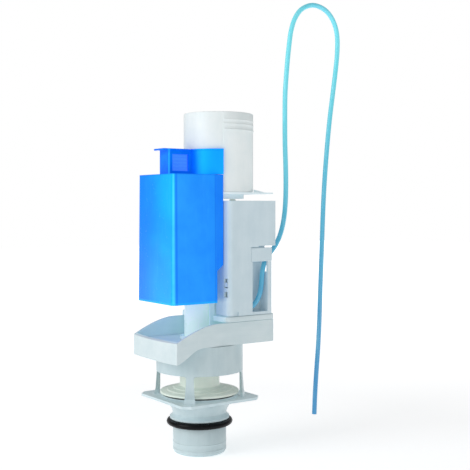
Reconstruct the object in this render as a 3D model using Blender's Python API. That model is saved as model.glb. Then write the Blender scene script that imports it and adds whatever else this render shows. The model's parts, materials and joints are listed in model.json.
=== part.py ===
"""Flush valve of a concealed cistern: outlet, cage, lifting overflow column, float and air actuator.

Metres, +Z up. The origin is on the outlet's axis, in the plane of the flange plate's underside.
+X runs from the float towards the actuator housing, so the valve is symmetric about the XZ plane,
apart from the hose, which leaves on the -Y side.
"""
import math

import bmesh
import bpy
from mathutils import Matrix, Vector

MM = 0.001
GAP = 0.3 * MM              # between pieces that touch
STEPS = 40                  # sides of a large round piece
FEW_STEPS = 20              # sides of a small or hidden round piece
BEYOND = 5 * MM             # how far a cutting shape runs past the piece it cuts
OVERLAP = 1 * MM            # how far welded shapes reach into each other

# Outlet and its seal
SPIGOT_R = 24.9 * MM
SPIGOT_BORE_R = SPIGOT_R - 2.6 * MM
SPIGOT_LENGTH = 50.4 * MM
RING_SECTION = 6.1 * MM     # O-ring thickness
RING_STANDS_OUT = 6.0 * MM  # how far the O-ring is proud of the spigot
RING_Z = -21.8 * MM
COLLAR_R = SPIGOT_R + 3.0 * MM    # lip above the O-ring
SPIGOT_BEADS_Z = (-40.2 * MM, -46.0 * MM)
SPIGOT_BEAD = 0.25 * MM
FUNNEL = ((5.5, -3.6), (3.1, -6.6), (1.1, -10.0), (0.2, -13.1), (1.0, -15.2))  # width, height, mm
COLLAR_TOP = -16.8 * MM
SHOULDER_R = SPIGOT_R + 9.1 * MM    # fills the plate's hole
SHOULDER_LOW = -1.6 * MM
SEAT_RIM_WIDTH = 1.9 * MM   # rests on the plate
SEAT_RIM_T = 0.9 * MM

# Cage: flange plate, four legs and drum
PLATE_HALF = SHOULDER_R + 8.0 * MM
PLATE_CHAMFER = 6.5 * MM
PLATE_T = 2.4 * MM
DRUM_WALL = 2.3 * MM
FOOT_FLARE = 2.6 * MM       # the legs' feet, outside the drum
WINDOW_TOP = 26.1 * MM
DISC_ROOM = 1.2 * MM        # round the disc, inside the drum
HUB_ROOM = 12.1 * MM        # above the lifted disc's hub, up to the drum's top
LEG_WIDTH = 6.2 * MM

# Overflow column
TUBE_R = 14.2 * MM
TUBE_WALL = 1.8 * MM
LIFT = 14.0 * MM            # travel of the column
DISC_R = SHOULDER_R + 2.9 * MM
DISC_Z = 5.3 * MM           # underside of the valve disc
DISC_HUB_R = TUBE_R + 4.4 * MM
DISC_HUB_TOP = 26.0 * MM
SEAL_T = 1.7 * MM
SEAL_OUTER_R = SHOULDER_R - 0.6 * MM
SEAT_LIP_R = SPIGOT_R + 2.1 * MM
HEAD_R = 32.5 * MM
HEAD_SETBACK = 2.9 * MM     # the head's front, behind the tube's
HEAD_X = HEAD_R - TUBE_R + HEAD_SETBACK
HEAD_WALL = 2.0 * MM
HEAD_HEIGHT = 72.8 * MM
SLEEVE_HALF_ANGLE = 116     # the raised, ribbed side of the head, in degrees from +X
SLEEVE_PROUD = 0.3 * MM
HEAD_RIBS = ((6.5, 0.5), (10.5, 0.5), (15.5, 0.8))    # depth below the top and height, mm
RIB_WIDTH = 1.3 * MM
BOSS_R = 24.0 * MM
BOSS_DEPTH = 4.1 * MM
LIFT_PLATE_T = 1.8 * MM
EAR_END_X = HEAD_X + HEAD_R + 10.3 * MM
EAR_HALF = 31.0 * MM

# Tray and deck
TRAY_FRONT_X = -49.9 * MM
DRUM_OUTSIDE_TRAY = 1.5 * MM
TRAY_WALL = 2.2 * MM
TRAY_FLOOR_T = 2.3 * MM
TRAY_HEIGHT = 20.4 * MM     # rear wall
TRAY_TOP_DROP = 16.3 * MM   # how far the rim falls to the front
TRAY_TOP_BEND_X = -6.0 * MM
TRAY_BOTTOM_DROP = 13.3 * MM
TRAY_BOTTOM_BEND_X = -20.5 * MM
TRAY_BULGE = 1.6 * MM       # bow of the front face
TRAY_FALL_POWER = 1.65       # how late the top edge falls
TRAY_CORNER_R = 5.2 * MM
DECK_T = 5.0 * MM
DECK_FRONT_X = 3.0 * MM
DECK_PROUD = 0.7 * MM

# Actuator housing
HOUSING_HALF = 38.9 * MM
HOUSING_HEIGHT = 104.9 * MM
HOUSING_STEP = 63.3 * MM    # height of the step under the wider upper part
HOUSING_WALL = 2.2 * MM
CHANNEL_CLEARANCE = 3.8 * MM
PLATE_ABOVE_HOUSING = 6.1 * MM
POCKET_X = (33.0 * MM, 50.4 * MM)
POCKET_BACK_Y = -27.0 * MM
POCKET_TOP = 48.6 * MM      # above the housing's base
TUNNEL_DEPTH = 10.0 * MM    # how far below the bridge the hose starts to leave the pocket
BRIDGE_T = 2.0 * MM
BRIDGE_INSET = 1.6 * MM     # width of the bridge's seat beside the pocket
POCKET_FLOOR = 2.6 * MM     # above the housing's base
PARTING_SLOT_X = 40.0 * MM
PARTING_SLOT = 1.6 * MM
NOTCH_X = (12.0 * MM, 17.5 * MM)
NOTCH_HEIGHT = 4.0 * MM
NOTCH_DEPTH = 1.2 * MM
LATCH_SLOT_Y = (-36.2 * MM, -31.0 * MM)
LATCH_SLOTS_Z = ((25.6 * MM, 34.1 * MM), (17.1 * MM, 22.1 * MM))    # above the housing's base
LATCH_Y = (-35.8 * MM, -31.4 * MM)
LATCH_T = 1.6 * MM
LATCH_HEIGHT = 37.0 * MM
LATCH_NIB_Z = (26.6 * MM, 30.6 * MM)
NOZZLE_R = 3.2 * MM
NOZZLE_BORE_R = 1.6 * MM
NOZZLE_BITE = 3.2 * MM      # how deep the elbow enters the bellows' base
BELLOWS_R = 14.5 * MM
BELLOWS_ROOM = (2.8 * MM, 1.4 * MM)    # in front of the bellows and behind it
UPPER_OVERHANG = 4.4 * MM   # the housing's upper part, behind the lower
BELLOWS_FOLD = 3.2 * MM
BELLOWS_FOLDS = 5
BELLOWS_HEIGHT = 34.0 * MM
BELLOWS_BASE_T = 11.6 * MM
BELLOWS_WALL = 1.2 * MM
BELLOWS_CAP_T = 3.0 * MM
ROD_R = 3.2 * MM

# Float
BELL_FRONT_X = -47.2 * MM
BELL_BACK_X = -0.8 * MM
BELL_HALF = HEAD_R - 1.6 * MM
BELL_WALL = 1.8 * MM
BELL_HEIGHT = 116.0 * MM
BELL_TOP_ABOVE_PLATE = 17.5 * MM
FLOAT_RISE = 8.0 * MM        # how far the float is raised on the column for a short flush
BELL_CORNER_R = 3.2 * MM
BELL_FLARE = (1.02, 1.03, 1.0)
FLANGE_ROOM = 1.2 * MM       # between the float's flanges and the housing
FLANGE_T = 1.6 * MM
FLANGE_REACH = 0.48          # the flanges clasp the head up to here, as a share of its radius
FLANGE_HEIGHT = 88.0 * MM
COLLAR_CLEARANCE = 1.3 * MM  # float collar to overflow head
COLLAR_WALL = 1.8 * MM
RISER_HEIGHT = 21.9 * MM
RISER_FRONT_X = -38.0 * MM
RISER_HALF = 8.5 * MM
LIP_T = 1.2 * MM
LIP_FRONT_X = -43.5 * MM
WINDOW_FRAME = 2.0 * MM      # round the riser's side windows
SLIDER_TRAVEL = 2.0 * MM     # either way
SLIDER_PLAY = 0.5 * MM
SLIDER_RIBS = 5
SLIDER_RIB_DEPTH = 0.8 * MM

# Small parts round the tube
TUBE_STEPS = 36              # facets of the tube and of what fits round it
BUSH_ROOM = 0.4 * MM
BUSH_HOLE_ROOM = 3.6 * MM
BUSH_BELOW_DRUM = 3.5 * MM
GUIDE_RING_ROOM = 0.6 * MM
GUIDE_RING_T = 3.0 * MM
GUIDE_ROOM = 0.8 * MM
GUIDE_T = 2.0 * MM
GUIDE_X = (0.6 * MM, 5.8 * MM)
GUIDE_HEIGHT = 75.0 * MM
GUSSET_Y = 20.0 * MM
GUSSET_ROOM = 1.6 * MM       # from the head's wall
GUSSET_T = 1.6 * MM
GUSSET_HEIGHT = 2.6 * MM

# Air hose
HOSE_D = 4.6 * MM
HOSE_ROUTE_MM = (
    (33.9, -33, 84.6), (37.7, -33, 86.3), (41.2, -33.2, 89.7), (43.9, -33.5, 94.3),
    (45.6, -33.8, 99.8), (46.6, -34, 106), (47.2, -34, 113), (48.2, -33.9, 119),
    (50.4, -33.3, 125), (54, -32.1, 129.8), (58.6, -30.4, 133.5), (63.6, -28.6, 137.2),
    (68.2, -28, 142), (72.2, -28, 149), (75.6, -28, 157.6), (78.2, -28, 169),
    (79.6, -28, 182), (80.1, -28, 198), (79.8, -28, 217), (79, -28, 238), (78.8, -28, 261),
    (79, -28, 283), (80.1, -28, 299), (82, -28, 318), (83.8, -28, 332), (86, -28, 345),
    (90.4, -28, 357), (97.3, -28, 366), (105.7, -28, 371), (114, -28, 373), (122.3, -28, 372.2),
    (130.5, -28, 369), (137.3, -28, 363), (142.2, -28, 354.5), (144.5, -28, 344),
    (144.4, -28, 330), (142.3, -28, 312), (138.6, -28, 288), (134.9, -28, 264), (132, -28, 240),
    (129.6, -28, 216), (127.7, -28, 192), (126.4, -28, 168), (125.5, -28, 145), (124.5, -28, 121),
    (123.3, -28, 94), (122.2, -28, 63), (120.7, -28, 39), (118.7, -28, 16), (117, -28, -7),
    (116.2, -28, -26),
)
HOSE_POINT_SPACING = 10.0 * MM

# Heights that follow from the stack
DRUM_TOP = DISC_HUB_TOP + LIFT + HUB_ROOM
DRUM_R = DISC_R + DISC_ROOM + DRUM_WALL
DRUM_INNER_R = DRUM_R - DRUM_WALL
CAGE_FOOT_R = DRUM_R + FOOT_FLARE
TRAY_HALF = DRUM_R - DRUM_OUTSIDE_TRAY
TRAY_BASE = DRUM_TOP + GAP
TRAY_FLOOR = TRAY_BASE + TRAY_FLOOR_T
TRAY_TOP = TRAY_BASE + TRAY_HEIGHT
DECK_BASE = TRAY_TOP + GAP
DECK_TOP = DECK_BASE + DECK_T
HOUSING_BASE = DECK_TOP + GAP
HOUSING_TOP = HOUSING_BASE + HOUSING_HEIGHT
LIFT_PLATE_BASE = HOUSING_TOP + PLATE_ABOVE_HOUSING
LIFT_PLATE_TOP = LIFT_PLATE_BASE + LIFT_PLATE_T
BELL_TOP = LIFT_PLATE_BASE + BELL_TOP_ABOVE_PLATE
BELL_BASE = BELL_TOP - BELL_HEIGHT
RISER_BASE = BELL_TOP + GAP
RISER_TOP = RISER_BASE + RISER_HEIGHT
FLOAT_RING_R = HEAD_R + COLLAR_CLEARANCE
CHANNEL_R = TUBE_R + CHANNEL_CLEARANCE
FLANGE_BACK_X = HEAD_X - FLANGE_REACH * HEAD_R
HOUSING_FRONT_X = FLANGE_BACK_X + FLANGE_ROOM
ACTUATOR_X = CHANNEL_R + HOUSING_WALL + BELLOWS_ROOM[0] + BELLOWS_R
HOUSING_LOW_BACK_X = ACTUATOR_X + BELLOWS_R + BELLOWS_ROOM[1] + HOUSING_WALL
HOUSING_BACK_X = HOUSING_LOW_BACK_X + UPPER_OVERHANG
TRAY_BACK_X = HOUSING_BACK_X - 0.2 * MM
BUSH_HOLE_R = TUBE_R + BUSH_HOLE_ROOM
BELLOWS_BASE_Z = HOUSING_BASE + BELLOWS_BASE_T
SLIDER_HOLLOW_LOW = (RISER_FRONT_X + 1.8 * MM, -RISER_HALF + 1.6 * MM, RISER_BASE - 1 * MM)
SLIDER_HOLLOW_HIGH = (HEAD_X - FLOAT_RING_R - COLLAR_WALL - 1.4 * MM, RISER_HALF - 1.6 * MM,
                      RISER_TOP - 0.8 * MM)

WHITE = ("white_plastic", (0.82, 0.87, 0.88), 0.35, 0.0)
CREAM = ("cream_plastic", (0.86, 0.87, 0.80), 0.40, 0.0)
BLUE = ("blue_plastic", (0.03, 0.30, 0.90), 0.25, 0.0)
BLACK = ("black_rubber", (0.015, 0.015, 0.018), 0.55, 0.0)
GREY = ("grey_rubber", (0.30, 0.31, 0.32), 0.60, 0.0)
HOSE = ("blue_hose", (0.12, 0.55, 0.75), 0.30, 0.0)


# Making and joining shapes

def make_material(node, look):
    name, colour, roughness, metallic = look
    made = bpy.data.materials.new(name + "_" + node)
    made.use_nodes = True
    shader = made.node_tree.nodes["Principled BSDF"]
    shader.inputs["Base Color"].default_value = (*colour, 1.0)
    shader.inputs["Roughness"].default_value = roughness
    shader.inputs["Metallic"].default_value = metallic
    return made


def put_in_scene(name, bm):
    bmesh.ops.remove_doubles(bm, verts=bm.verts, dist=1e-6)
    bmesh.ops.recalc_face_normals(bm, faces=bm.faces)
    mesh = bpy.data.meshes.new(name)
    bm.to_mesh(mesh)
    bm.free()
    made = bpy.data.objects.new(name, mesh)
    bpy.context.scene.collection.objects.link(made)
    return made


def finish(piece, look, smooth_angle=35):
    piece.data.materials.clear()
    piece.data.materials.append(make_material(piece.name, look))
    piece.data.shade_smooth()
    piece.data.set_sharp_from_angle(angle=math.radians(smooth_angle))
    return piece


def arc(centre, radius, start, end, steps):
    """Points of an arc from start to end, in degrees."""
    angles = [math.radians(start + (end - start) * i / steps) for i in range(steps + 1)]
    return [(centre[0] + radius * math.cos(a), centre[1] + radius * math.sin(a)) for a in angles]


def circle(centre, radius, steps=STEPS):
    return arc(centre, radius, 0, 360, steps)[:-1]


def rounded_rectangle(low, high, radii, steps=4):
    """A rectangle whose corners, from (low, low) anticlockwise, have the given radii."""
    corners = [(low[0], low[1], 1, 1, 180), (high[0], low[1], -1, 1, 270),
               (high[0], high[1], -1, -1, 0), (low[0], high[1], 1, -1, 90)]
    outline = []
    for (x, y, to_x, to_y, angle), radius in zip(corners, radii):
        centre = (x + to_x * radius, y + to_y * radius)
        outline += arc(centre, radius, angle, angle + 90, steps)
    return outline


def prism(name, outline, low, high, axis="Z"):
    """A flat outline extruded along Z, or an XZ outline extruded along Y."""
    place = {"Z": lambda a, b: (a, b, low), "Y": lambda a, b: (a, low, b)}[axis]
    step = {"Z": (0, 0, high - low), "Y": (0, high - low, 0)}[axis]
    bm = bmesh.new()
    face = bm.faces.new([bm.verts.new(place(a, b)) for a, b in outline])
    grown = bmesh.ops.extrude_face_region(bm, geom=[face])["geom"]
    moved = [item for item in grown if isinstance(item, bmesh.types.BMVert)]
    bmesh.ops.translate(bm, verts=moved, vec=step)
    return put_in_scene(name, bm)


def box(name, low, high):
    bm = bmesh.new()
    bmesh.ops.create_cube(bm, size=1.0)
    size = [b - a for a, b in zip(low, high)]
    middle = [(a + b) / 2 for a, b in zip(low, high)]
    bmesh.ops.scale(bm, vec=size, verts=bm.verts)
    bmesh.ops.translate(bm, vec=middle, verts=bm.verts)
    return put_in_scene(name, bm)


def turned(name, profile, centre_x=0.0, steps=STEPS):
    """A closed profile of (radius, height) points spun about a vertical axis."""
    bm = bmesh.new()
    points = [bm.verts.new((radius, 0, height)) for radius, height in profile]
    edges = [bm.edges.new(pair) for pair in zip(points, points[1:])]
    if min(radius for radius, _ in profile) > 0:
        edges.append(bm.edges.new((points[-1], points[0])))
    bmesh.ops.spin(bm, geom=points + edges, cent=(0, 0, 0), axis=(0, 0, 1), dvec=(0, 0, 0),
                   angle=2 * math.pi, steps=steps, use_merge=True, use_duplicate=False)
    bmesh.ops.translate(bm, vec=(centre_x, 0, 0), verts=bm.verts)
    return put_in_scene(name, bm)


def ring_profile(inner, outer, low, high):
    return [(outer, high), (outer, low), (inner, low), (inner, high)]


def combine(piece, other, operation):
    modifier = piece.modifiers.new(operation.lower() + "_" + other.name, "BOOLEAN")
    modifier.operation = operation
    modifier.solver = "EXACT"
    modifier.object = other
    other.hide_render = True
    other.display_type = "WIRE"
    return piece


def cut(piece, *cutters):
    for cutter in cutters:
        combine(piece, cutter, "DIFFERENCE")
    return piece


def weld(piece, *others):
    for other in others:
        combine(piece, other, "UNION")
    return piece


def both_sides(low_y, high_y):
    """The span on the -Y side and its mirror image."""
    return ((low_y, high_y), (-high_y, -low_y))


# Outlet, its seal and the cage

def spigot_beads():
    """Fine rings round the spigot's lower end, from the top one down."""
    beads = []
    for z in SPIGOT_BEADS_Z:
        beads += [(SPIGOT_R, z + 2 * SPIGOT_BEAD), (SPIGOT_R + SPIGOT_BEAD, z + SPIGOT_BEAD),
                  (SPIGOT_R + SPIGOT_BEAD, z - SPIGOT_BEAD), (SPIGOT_R, z - 2 * SPIGOT_BEAD)]
    return beads


def make_outlet():
    """Spigot, groove, funnel and valve seat; its rim rests on the cage's plate."""
    groove = SPIGOT_R + RING_STANDS_OUT - RING_SECTION - GAP
    half = RING_SECTION / 2 + GAP
    lip_top = DISC_Z - SEAL_T - 2 * GAP
    rim_low = PLATE_T + GAP
    end = -SPIGOT_LENGTH
    funnel = [(SPIGOT_R + out * MM, height * MM) for out, height in FUNNEL]
    profile = [
        (SPIGOT_R, RING_Z - half), *spigot_beads(), (SPIGOT_R, end + 2.6 * MM),
        (SPIGOT_R - 0.8 * MM, end + 0.7 * MM), (SPIGOT_R - 1.7 * MM, end),
        (SPIGOT_BORE_R, end), (SPIGOT_BORE_R, -2 * MM),
        (SEAT_LIP_R - 3 * MM, 1.4 * MM), (SEAT_LIP_R - 2.4 * MM, lip_top),
        (SEAT_LIP_R, lip_top), (SEAT_LIP_R + 0.6 * MM, PLATE_T - GAP),
        (SHOULDER_R - SEAT_RIM_T, PLATE_T - GAP), (SHOULDER_R + GAP, rim_low + SEAT_RIM_T),
        (SHOULDER_R + SEAT_RIM_WIDTH, rim_low + SEAT_RIM_T),
        (SHOULDER_R + SEAT_RIM_WIDTH, rim_low), (SHOULDER_R, rim_low),
        (SHOULDER_R, SHOULDER_LOW), *funnel, (COLLAR_R, COLLAR_TOP), (COLLAR_R, RING_Z + half),
        (groove, RING_Z + half), (groove, RING_Z - half),
    ]
    return finish(turned("outlet_spigot", profile), WHITE, 28)


def make_spigot_ring():
    radius = RING_SECTION / 2
    centre = (SPIGOT_R + RING_STANDS_OUT - radius, RING_Z)
    return finish(turned("spigot_o_ring", circle(centre, radius, 10)), BLACK, 60)


def make_cage():
    """The drum is one flaring shell; crossing windows leave its four legs."""
    foot = PLATE_T / 2
    shell = [
        (DRUM_R, DRUM_TOP), (DRUM_R, WINDOW_TOP), (CAGE_FOOT_R - 1.4 * MM, 8 * MM),
        (CAGE_FOOT_R, foot), (CAGE_FOOT_R - 3.2 * MM, foot), (DRUM_INNER_R + 0.2 * MM, 8 * MM),
        (DRUM_INNER_R, WINDOW_TOP), (DRUM_INNER_R, DRUM_TOP - 2 * MM),
        (BUSH_HOLE_R, DRUM_TOP - 2 * MM), (BUSH_HOLE_R, DRUM_TOP),
    ]
    cage = turned("valve_cage", shell)
    half = DRUM_R * math.sin(math.radians(45)) - LEG_WIDTH / 2 + 0.6 * MM
    reach = 2 * CAGE_FOOT_R
    radii = (0.2 * MM, 0.2 * MM, 2.5 * MM, 2.5 * MM)
    outline = rounded_rectangle((-half, foot - 1 * MM), (half, WINDOW_TOP), radii, 3)
    along_y = prism("window_along_y", outline, -reach, reach, "Y")
    along_x = prism("window_along_x", outline, -reach, reach, "Y")
    along_x.rotation_euler = (0, 0, math.pi / 2)
    cut(cage, along_y, along_x)
    plate_corner = PLATE_HALF - PLATE_CHAMFER
    outline = [(PLATE_HALF, -plate_corner), (PLATE_HALF, plate_corner),
               (plate_corner, PLATE_HALF), (-plate_corner, PLATE_HALF),
               (-PLATE_HALF, plate_corner), (-PLATE_HALF, -plate_corner),
               (-plate_corner, -PLATE_HALF), (plate_corner, -PLATE_HALF)]
    plate = prism("flange_plate", outline, 0, PLATE_T)
    hole = prism("plate_hole", circle((0, 0), SHOULDER_R + GAP), -BEYOND, PLATE_T + BEYOND)
    cut(plate, hole)
    weld(cage, plate)
    return finish(cage, WHITE)


# Tray, deck and guides

def tray_side():
    """The tray's side: both edges fall in a shoulder towards the front."""
    steps = 12
    bottom = []
    for i in range(steps + 1):
        t = i / steps
        x = TRAY_BOTTOM_BEND_X + (TRAY_FRONT_X - 2 * MM - TRAY_BOTTOM_BEND_X) * t
        bottom.append((x, TRAY_BASE - TRAY_BOTTOM_DROP * (1 - math.cos(math.pi * t)) / 2))
    top = []
    for i in range(steps + 1):
        t = i / steps
        x = TRAY_TOP_BEND_X + (TRAY_FRONT_X - 2 * MM - TRAY_TOP_BEND_X) * t
        top.append((x, TRAY_TOP - TRAY_TOP_DROP * t ** TRAY_FALL_POWER))
    back = TRAY_BACK_X + 2 * MM
    return [(back, TRAY_TOP), *top, *reversed(bottom), (back, TRAY_BASE)]


def tray_plan(front_x, back_x, half, radius):
    """The tray from above, with a bowed front face."""
    steps = 8
    front = []
    for i in range(steps + 1):
        t = 2 * i / steps - 1
        front.append((front_x + TRAY_BULGE * t * t, -half * t))
    back = [*arc((back_x - radius, -half + radius), radius, 270, 360, 3),
            *arc((back_x - radius, half - radius), radius, 0, 90, 3)]
    return [*reversed(back), *reversed(front)]


def make_tray():
    lowest = TRAY_BASE - TRAY_BOTTOM_DROP - BEYOND
    plan = tray_plan(TRAY_FRONT_X, TRAY_BACK_X, TRAY_HALF, TRAY_CORNER_R)
    tray = prism("water_tray", plan, lowest, TRAY_TOP + BEYOND)
    side = prism("tray_side", tray_side(), -TRAY_HALF - BEYOND, TRAY_HALF + BEYOND, "Y")
    combine(tray, side, "INTERSECT")
    inner_half, inner_r = TRAY_HALF - TRAY_WALL, TRAY_CORNER_R - TRAY_WALL
    front, back = TRAY_FRONT_X + TRAY_WALL, TRAY_BACK_X - TRAY_WALL
    basin = prism("tray_basin", tray_plan(front, back, inner_half, inner_r), TRAY_FLOOR,
                  TRAY_TOP + 2 * BEYOND)
    skirt = tray_plan(front, TRAY_BOTTOM_BEND_X - 1.5 * MM, inner_half, inner_r)
    under = prism("tray_underside", skirt, lowest - BEYOND, TRAY_BASE + 0.1 * MM)
    hole = prism("tray_hole", circle((0, 0), BUSH_HOLE_R), TRAY_BASE - BEYOND, TRAY_TOP)
    cut(tray, basin, under, hole)
    return finish(tray, WHITE)


def make_deck():
    half = TRAY_HALF + DECK_PROUD
    outline = rounded_rectangle((DECK_FRONT_X, -half), (TRAY_BACK_X + DECK_PROUD, half),
                                (6 * MM, 8 * MM, 8 * MM, 6 * MM))
    deck = prism("deck_plate", outline, DECK_BASE, DECK_TOP)
    notch = prism("deck_notch", circle((0, 0), CHANNEL_R + 0.5 * MM), DECK_BASE - BEYOND,
                  DECK_TOP + BEYOND)
    return finish(cut(deck, notch), WHITE)


def make_bush():
    inner = TUBE_R + BUSH_ROOM
    outer = BUSH_HOLE_R - GAP
    low = DRUM_TOP - BUSH_BELOW_DRUM
    profile = [(outer, TRAY_FLOOR + GAP), (outer, low), (inner, low), (inner, TRAY_FLOOR + GAP)]
    return finish(turned("tube_bush", profile, steps=TUBE_STEPS), CREAM)


def make_tube_guide():
    """A ring on the tray floor with two uprights that keep the tube from leaning."""
    low = TRAY_FLOOR + 2 * GAP
    ring = turned("tube_guide", ring_profile(TUBE_R + GUIDE_RING_ROOM, CHANNEL_R, low,
                                             low + GUIDE_RING_T), steps=TUBE_STEPS)
    high = HOUSING_BASE + GUIDE_HEIGHT
    inner = TUBE_R + GUIDE_ROOM
    for number, span in enumerate(both_sides(-inner - GUIDE_T, -inner)):
        upright = box(f"guide_upright_{number}", (GUIDE_X[0], span[0], low + 1 * MM),
                      (GUIDE_X[1], span[1], high))
        weld(ring, upright)
    return finish(ring, WHITE)


# Actuator housing and what it holds

def housing_outline(back_x):
    return rounded_rectangle((HOUSING_FRONT_X, -HOUSING_HALF), (back_x, HOUSING_HALF),
                             (5 * MM, 1.5 * MM, 1.5 * MM, 5 * MM))


def housing_hollows():
    """The hollows are open at the base, and leave a wall round the tube's channel."""
    wall = HOUSING_WALL
    behind_channel = CHANNEL_R + wall
    low = HOUSING_BASE - 5 * MM
    step = HOUSING_BASE + HOUSING_STEP + wall + 1.4 * MM
    high = HOUSING_TOP - wall
    inner = HOUSING_HALF - wall
    pocket_wall = POCKET_BACK_Y + wall
    pocket_side = POCKET_X[0] - wall
    return [
        box("hollow_middle", (behind_channel, pocket_wall, low),
            (HOUSING_LOW_BACK_X - wall, inner, high)),
        box("hollow_top", (behind_channel, -inner, step), (HOUSING_BACK_X - wall, inner, high)),
        box("hollow_by_pocket", (behind_channel - 1 * MM, -inner, low),
            (pocket_side, pocket_wall + 1 * MM, step + 1 * MM)),
        box("hollow_ear_near", (HOUSING_FRONT_X + wall, -inner, low),
            (behind_channel + 1 * MM, -behind_channel, high)),
        box("hollow_ear_far", (HOUSING_FRONT_X + wall, behind_channel, low),
            (behind_channel + 1 * MM, inner, high)),
    ]


def pocket_cuts():
    """The hose pocket, the way out behind the bridge and the bridge's own seat."""
    base = HOUSING_BASE
    front = -HOUSING_HALF - BEYOND
    step = base + HOUSING_STEP
    bridge_back = -HOUSING_HALF + BRIDGE_T + GAP
    seat_back = bridge_back + 0.1 * MM
    out = HOUSING_BACK_X + BEYOND
    return [
        box("pocket", (POCKET_X[0], front, base + POCKET_FLOOR),
            (POCKET_X[1], POCKET_BACK_Y, base + POCKET_TOP + GAP)),
        box("hose_tunnel", (POCKET_X[0], bridge_back, base + POCKET_TOP - TUNNEL_DEPTH),
            (out, POCKET_BACK_Y, step)),
        box("bridge_seat", (POCKET_X[0] - BRIDGE_INSET, front, base + POCKET_TOP),
            (out, seat_back, step - PARTING_SLOT + 2 * GAP)),
        box("parting_slot", (PARTING_SLOT_X, front, step - PARTING_SLOT), (out, seat_back, step)),
    ]


def small_housing_cuts():
    base = HOUSING_BASE
    front = HOUSING_FRONT_X
    cuts = [box("notch", (NOTCH_X[0], -HOUSING_HALF - BEYOND, base - BEYOND),
                (NOTCH_X[1], -HOUSING_HALF + NOTCH_DEPTH, base + NOTCH_HEIGHT))]
    for number, span in enumerate(both_sides(*LATCH_SLOT_Y)):
        for low, high in LATCH_SLOTS_Z:
            cuts.append(box(f"latch_slot_{number}_{low:.3f}",
                            (front - BEYOND, span[0], base + low),
                            (front + HOUSING_WALL + OVERLAP, span[1], base + high)))
    rod_hole = prism("rod_hole", circle((ACTUATOR_X, 0), ROD_R + 0.4 * MM, FEW_STEPS),
                     HOUSING_TOP - BEYOND, HOUSING_TOP + BEYOND)
    nozzle_hole = bar_along_x("nozzle_hole", (POCKET_X[0] - BEYOND, POCKET_X[0] + OVERLAP),
                              nozzle_place(), NOZZLE_R + GAP)
    return [*cuts, rod_hole, nozzle_hole]


def make_housing():
    step = HOUSING_BASE + HOUSING_STEP
    housing = prism("actuator_housing", housing_outline(HOUSING_LOW_BACK_X), HOUSING_BASE,
                    HOUSING_TOP - OVERLAP)
    upper = prism("housing_upper", housing_outline(HOUSING_BACK_X), step, HOUSING_TOP)
    weld(housing, upper)
    channel = prism("tube_channel", circle((0, 0), CHANNEL_R), HOUSING_BASE - BEYOND,
                    HOUSING_TOP + BEYOND)
    cut(housing, channel, *housing_hollows(), *pocket_cuts(), *small_housing_cuts())
    return finish(housing, WHITE)


def make_bridge():
    base = HOUSING_BASE
    low = (POCKET_X[0] - BRIDGE_INSET + GAP, -HOUSING_HALF, base + POCKET_TOP + GAP)
    high = (HOUSING_LOW_BACK_X, -HOUSING_HALF + BRIDGE_T, base + HOUSING_STEP - PARTING_SLOT)
    bridge = box("hose_bridge", low, high)
    bevel = bridge.modifiers.new("edge", "BEVEL")
    bevel.width = 0.5 * MM
    bevel.segments = 1
    return finish(bridge, WHITE)


def make_latches():
    base = HOUSING_BASE
    inside = HOUSING_FRONT_X + HOUSING_WALL + GAP
    for side, span in zip(("near", "far"), both_sides(*LATCH_Y)):
        latch = box(f"housing_latch_{side}", (inside, span[0], base + GAP),
                    (inside + LATCH_T, span[1], base + LATCH_HEIGHT))
        nib = box(f"latch_nib_{side}", (HOUSING_FRONT_X + GAP, span[0], base + LATCH_NIB_Z[0]),
                  (inside + OVERLAP, span[1], base + LATCH_NIB_Z[1]))
        finish(weld(latch, nib), WHITE)


def nozzle_place():
    """(Y, Z) of the nozzle, where the hose starts."""
    return HOSE_ROUTE_MM[0][1] * MM, HOSE_ROUTE_MM[0][2] * MM


def bar_along_x(name, span, place, radius, steps=16):
    """A round bar along X."""
    bar = prism(name, circle((0, 0), radius, steps), span[0], span[1])
    turn = Matrix.Rotation(math.pi / 2, 4, "Y")
    bar.data.transform(Matrix.Translation((0, *place)) @ turn)
    return bar


def make_nozzle():
    """An elbow: out of the pocket's side wall, and back along Y to the bellows' base."""
    y, z = nozzle_place()
    bend_x = POCKET_X[0] - HOUSING_WALL - NOZZLE_R - GAP
    nozzle = bar_along_x("air_nozzle", (bend_x, POCKET_X[0] - 2 * GAP), (y, z), NOZZLE_R)
    leg = prism("nozzle_leg", circle((bend_x, z), NOZZLE_R - 0.4 * MM, 16), y - OVERLAP,
                -BELLOWS_R - GAP + NOZZLE_BITE, "Y")
    bore = bar_along_x("nozzle_bore", (POCKET_X[0] - BEYOND, POCKET_X[0] + BEYOND), (y, z),
                       NOZZLE_BORE_R, 12)
    cut(weld(nozzle, leg), bore)
    return finish(nozzle, GREY)


def make_bellows_base():
    profile = [(BELLOWS_R, BELLOWS_BASE_Z - GAP), (BELLOWS_R, HOUSING_BASE + GAP),
               (0, HOUSING_BASE + GAP)]
    base = turned("bellows_base", [(0, BELLOWS_BASE_Z - GAP), *profile], ACTUATOR_X, FEW_STEPS)
    y, z = nozzle_place()
    seat = box("nozzle_seat", (ACTUATOR_X - BELLOWS_R - BEYOND, y, HOUSING_BASE - BEYOND),
               (ACTUATOR_X, -BELLOWS_R + NOZZLE_BITE + GAP, z + 2 * BEYOND))
    return finish(cut(base, seat), WHITE)


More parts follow.
